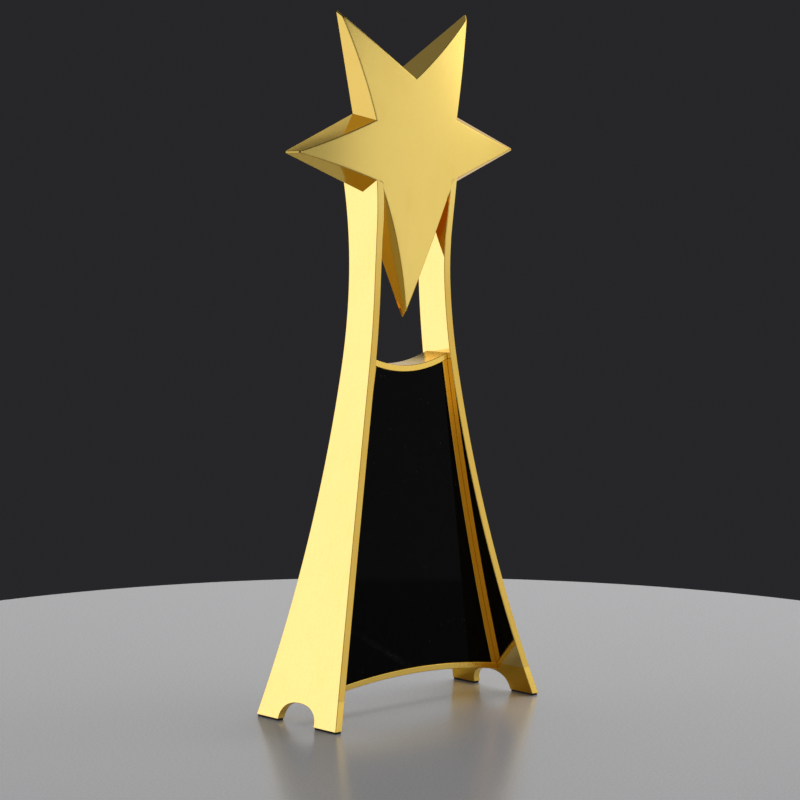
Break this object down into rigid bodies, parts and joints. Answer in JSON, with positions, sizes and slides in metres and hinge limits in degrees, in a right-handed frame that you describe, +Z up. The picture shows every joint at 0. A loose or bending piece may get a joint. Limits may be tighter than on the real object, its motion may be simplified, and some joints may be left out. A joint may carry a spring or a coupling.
{
  "type": "star trophy",
  "caption": "Gold star award held between two flared, arched leg plates, with a glossy dark panel framed by curved rails between the legs.",
  "frame": {"origin": "on the table under the middle of the award, at the underside of the foot pads", "axes": "+Z up, -Y towards the viewer of the front panel and the domed face of the star, +X to the right-hand leg"},
  "size_m": [0.1316, 0.051, 0.3],
  "materials": {
    "gold_star": "gold plated casting, satin front face and polished sloped sides",
    "gold_leg": "gold plated plate, mirror polished faces and satin edges",
    "gold_trim": "gold plated, satin front faces",
    "steel_bracket": "bright zinc plated",
    "steel_screw": "bright zinc plated",
    "dark_screw": "blackened steel",
    "black_panel": "polished black acrylic",
    "core_plastic": "plain moulded",
    "pad_rubber": "matt self-adhesive pads"
  },
  "bodies": {
    "root": {"star_body": "gold_star", "star_cover": "gold_star", "star_cover_screws": "steel_screw", "star_bridge": "steel_bracket", "bridge_star_screws": "steel_screw", "bridge_leg_screws": "steel_screw", "left_leg": "gold_leg", "right_leg": "gold_leg", "left_strip": "gold_trim", "right_strip": "gold_trim", "top_rail": "gold_trim", "bottom_rail": "gold_trim", "rail_pins": "steel_screw", "strip_pins": "steel_screw", "front_panel": "black_panel", "panel_core": "core_plastic", "back_panel": "black_panel", "panel_screws": "dark_screw", "foot_pads": "pad_rubber"}
  },
  "joints": []
}
